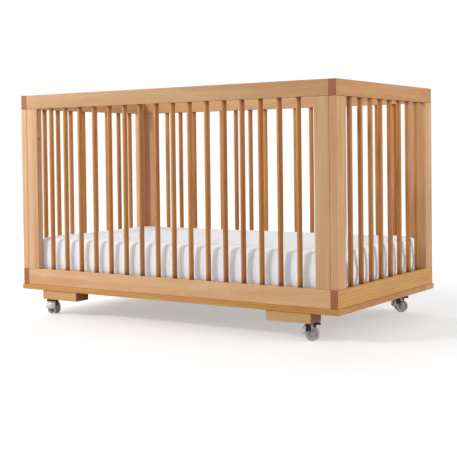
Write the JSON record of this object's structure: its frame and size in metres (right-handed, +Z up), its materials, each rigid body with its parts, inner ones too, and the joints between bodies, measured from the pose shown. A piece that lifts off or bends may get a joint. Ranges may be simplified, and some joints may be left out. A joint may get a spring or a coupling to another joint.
{
  "type": "baby crib",
  "caption": "Rectangular slatted wooden baby crib with solid rails and plank posts, a mattress on a deck, and low twin-wheel swivel casters.",
  "frame": {"origin": "on the floor under the middle of the crib", "axes": "+X along the crib's length, -Y towards the front long side, +Z up"},
  "size_m": [1.397, 0.772, 0.851],
  "materials": {
    "wood": "satin clear lacquer on honey-brown hardwood",
    "plywood": "sanded plywood",
    "mattress_fabric": "white cotton fitted sheet",
    "bright_steel": "zinc-plated",
    "black_steel": "black coated",
    "black_plastic": "moulded",
    "clear_plastic": "clear moulded"
  },
  "bodies": {
    "crib_frame": {"front_top_rail": "wood", "back_top_rail": "wood", "left_top_rail": "wood", "right_top_rail": "wood", "front_bottom_rail": "wood", "back_bottom_rail": "wood", "left_bottom_rail": "wood", "right_bottom_rail": "wood", "front_left_long_stile": "wood", "front_left_end_stile": "wood", "front_right_long_stile": "wood", "front_right_end_stile": "wood", "back_left_long_stile": "wood", "back_left_end_stile": "wood", "back_right_long_stile": "wood", "back_right_end_stile": "wood", "front_left_slats": "wood", "front_right_slats": "wood", "back_left_slats": "wood", "back_right_slats": "wood", "left_end_slats": "wood", "right_end_slats": "wood", "front_plinth_board": "wood", "back_plinth_board": "wood", "left_plinth_board": "wood", "right_plinth_board": "wood", "front_left_foot": "wood", "front_right_foot": "wood", "back_left_foot": "wood", "back_right_foot": "wood", "front_support_cleat": "wood", "back_support_cleat": "wood", "mattress_deck": "plywood", "front_left_corner_bolt": "bright_steel", "front_left_caster_plate": "black_steel", "front_right_corner_bolt": "bright_steel", "front_right_caster_plate": "black_steel", "back_left_corner_bolt": "bright_steel", "back_left_caster_plate": "black_steel", "back_right_corner_bolt": "bright_steel", "back_right_caster_plate": "black_steel"},
    "mattress": {"mattress": "mattress_fabric"},
    "front_right_caster": {"front_right_caster_fork": "black_plastic", "front_right_caster_axle": "bright_steel"},
    "front_right_left_wheel": {"front_right_left_wheel": "clear_plastic"},
    "front_right_right_wheel": {"front_right_right_wheel": "clear_plastic"},
    "front_right_brake_lever": {"front_right_brake_lever": "black_plastic"},
    "back_right_caster": {"back_right_caster_fork": "black_plastic", "back_right_caster_axle": "bright_steel"},
    "back_right_left_wheel": {"back_right_left_wheel": "clear_plastic"},
    "back_right_right_wheel": {"back_right_right_wheel": "clear_plastic"},
    "back_right_brake_lever": {"back_right_brake_lever": "black_plastic"},
    "front_left_caster": {"front_left_caster_fork": "black_plastic", "front_left_caster_axle": "bright_steel"},
    "front_left_left_wheel": {"front_left_left_wheel": "clear_plastic"},
    "front_left_right_wheel": {"front_left_right_wheel": "clear_plastic"},
    "back_left_caster": {"back_left_caster_fork": "black_plastic", "back_left_caster_axle": "bright_steel"},
    "back_left_left_wheel": {"back_left_left_wheel": "clear_plastic"},
    "back_left_right_wheel": {"back_left_right_wheel": "clear_plastic"}
  },
  "joints": [
    {"name": "mattress_lift", "type": "slide", "parent": "crib_frame", "child": "mattress", "axis": [0, 0, 1], "range_m": [0, 0.75]},
    {"name": "front_right_swivel", "type": "hinge", "parent": "crib_frame", "child": "front_right_caster", "pos_m": [0.573, -0.3475, 0.06], "axis": [0, 0, 1], "continuous": true},
    {"name": "front_right_left_wheel_spin", "type": "hinge", "parent": "front_right_caster", "child": "front_right_left_wheel", "pos_m": [0.57809, -0.34432, 0.0235], "axis": [-0.5299, 0.848, 0], "continuous": true},
    {"name": "front_right_right_wheel_spin", "type": "hinge", "parent": "front_right_caster", "child": "front_right_right_wheel", "pos_m": [0.57809, -0.34432, 0.0235], "axis": [-0.5299, 0.848, 0], "continuous": true},
    {"name": "front_right_brake", "type": "hinge", "parent": "front_right_caster", "child": "front_right_brake_lever", "pos_m": [0.58402, -0.34061, 0.0543], "axis": [-0.5299, 0.848, 0], "range_deg": [0, 12]},
    {"name": "back_right_swivel", "type": "hinge", "parent": "crib_frame", "child": "back_right_caster", "pos_m": [0.573, 0.3475, 0.06], "axis": [0, 0, 1], "continuous": true},
    {"name": "back_right_left_wheel_spin", "type": "hinge", "parent": "back_right_caster", "child": "back_right_left_wheel", "pos_m": [0.57773, 0.35119, 0.0235], "axis": [-0.6157, 0.788, 0], "continuous": true},
    {"name": "back_right_right_wheel_spin", "type": "hinge", "parent": "back_right_caster", "child": "back_right_right_wheel", "pos_m": [0.57773, 0.35119, 0.0235], "axis": [-0.6157, 0.788, 0], "continuous": true},
    {"name": "back_right_brake", "type": "hinge", "parent": "back_right_caster", "child": "back_right_brake_lever", "pos_m": [0.58324, 0.3555, 0.0543], "axis": [-0.6157, 0.788, 0], "range_deg": [0, 12]},
    {"name": "front_left_swivel", "type": "hinge", "parent": "crib_frame", "child": "front_left_caster", "pos_m": [-0.573, -0.3475, 0.06], "axis": [0, 0, 1], "continuous": true},
    {"name": "front_left_left_wheel_spin", "type": "hinge", "parent": "front_left_caster", "child": "front_left_left_wheel", "pos_m": [-0.57475, -0.34176, 0.0235], "axis": [-0.9563, -0.2924, 0], "continuous": true},
    {"name": "front_left_right_wheel_spin", "type": "hinge", "parent": "front_left_caster", "child": "front_left_right_wheel", "pos_m": [-0.57475, -0.34176, 0.0235], "axis": [-0.9563, -0.2924, 0], "continuous": true},
    {"name": "back_left_swivel", "type": "hinge", "parent": "crib_frame", "child": "back_left_caster", "pos_m": [-0.573, 0.3475, 0.06], "axis": [0, 0, 1], "continuous": true},
    {"name": "back_left_left_wheel_spin", "type": "hinge", "parent": "back_left_caster", "child": "back_left_left_wheel", "pos_m": [-0.57445, 0.35332, 0.0235], "axis": [-0.9703, -0.2419, 0], "continuous": true},
    {"name": "back_left_right_wheel_spin", "type": "hinge", "parent": "back_left_caster", "child": "back_left_right_wheel", "pos_m": [-0.57445, 0.35332, 0.0235], "axis": [-0.9703, -0.2419, 0], "continuous": true}
  ]
}
